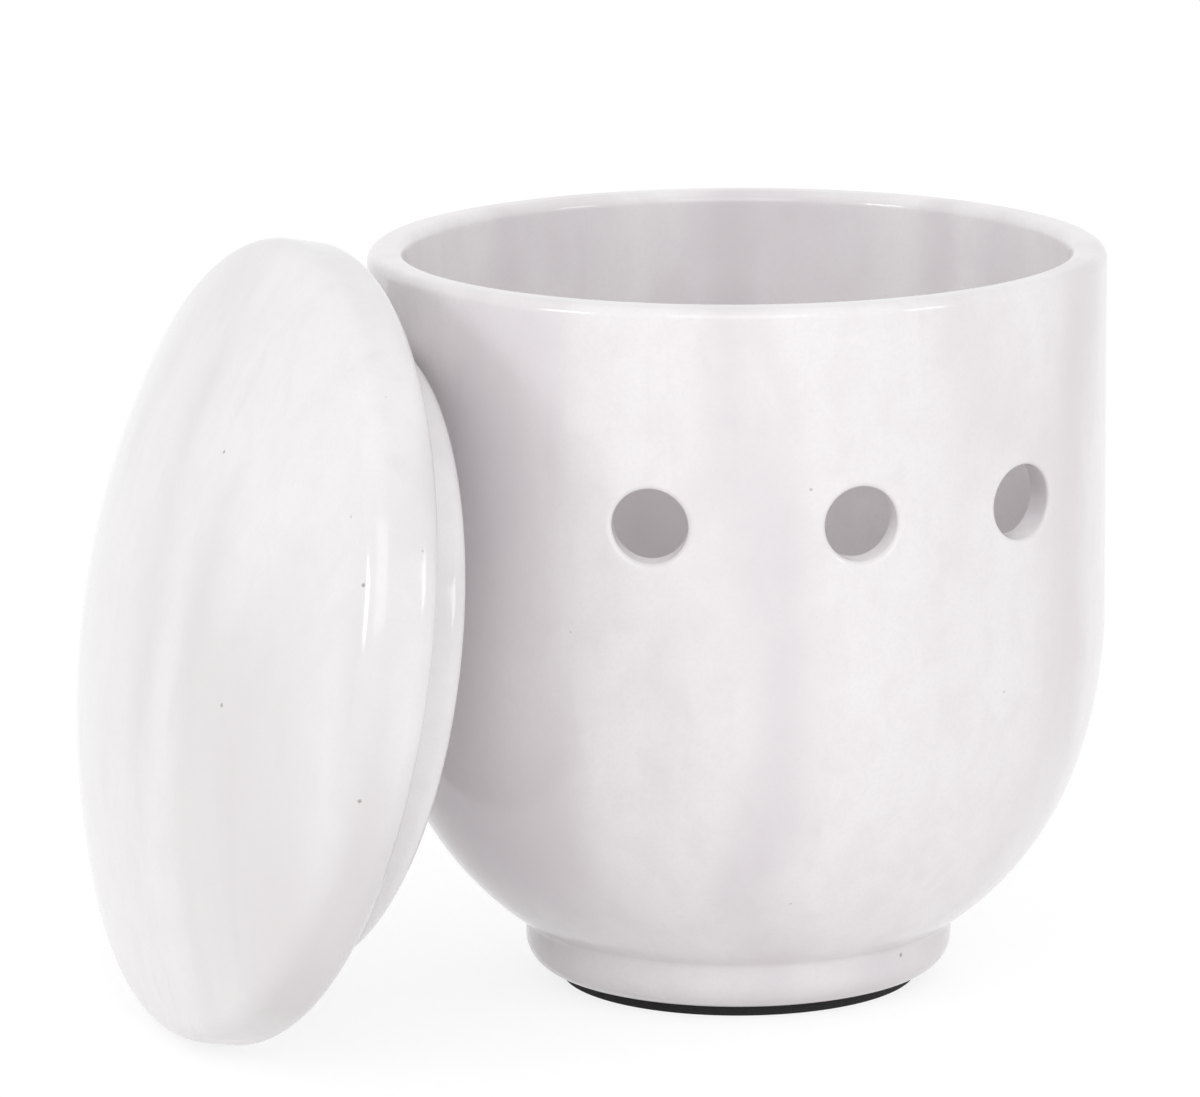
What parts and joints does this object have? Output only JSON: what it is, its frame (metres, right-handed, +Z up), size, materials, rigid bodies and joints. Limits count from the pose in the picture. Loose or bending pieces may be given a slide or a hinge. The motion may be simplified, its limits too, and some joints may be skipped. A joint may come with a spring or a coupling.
{
  "type": "garlic keeper",
  "caption": "Turned stone garlic keeper: a round-bottomed jar with small vent holes in its wall, and a domed plug lid that has been taken off and leans against the jar.",
  "frame": {"origin": "on the jar's axis, at the underside of the base pad, where the keeper stands on the table", "axes": "+Z up the jar's axis, -Y out through the middle vent hole, -X roughly towards the leaning lid"},
  "size_m": [0.1774, 0.1407, 0.1349],
  "materials": {
    "jar_marble": "polished",
    "lid_marble": "polished",
    "pad_foam": "matte"
  },
  "bodies": {
    "jar": {"jar": "jar_marble", "base_pad": "pad_foam"},
    "lid": {"lid": "lid_marble"}
  },
  "joints": [
    {"name": "lid_lift", "type": "slide", "parent": "jar", "child": "lid", "axis": [0, 0, 1], "range_m": [0, 0.15]}
  ]
}
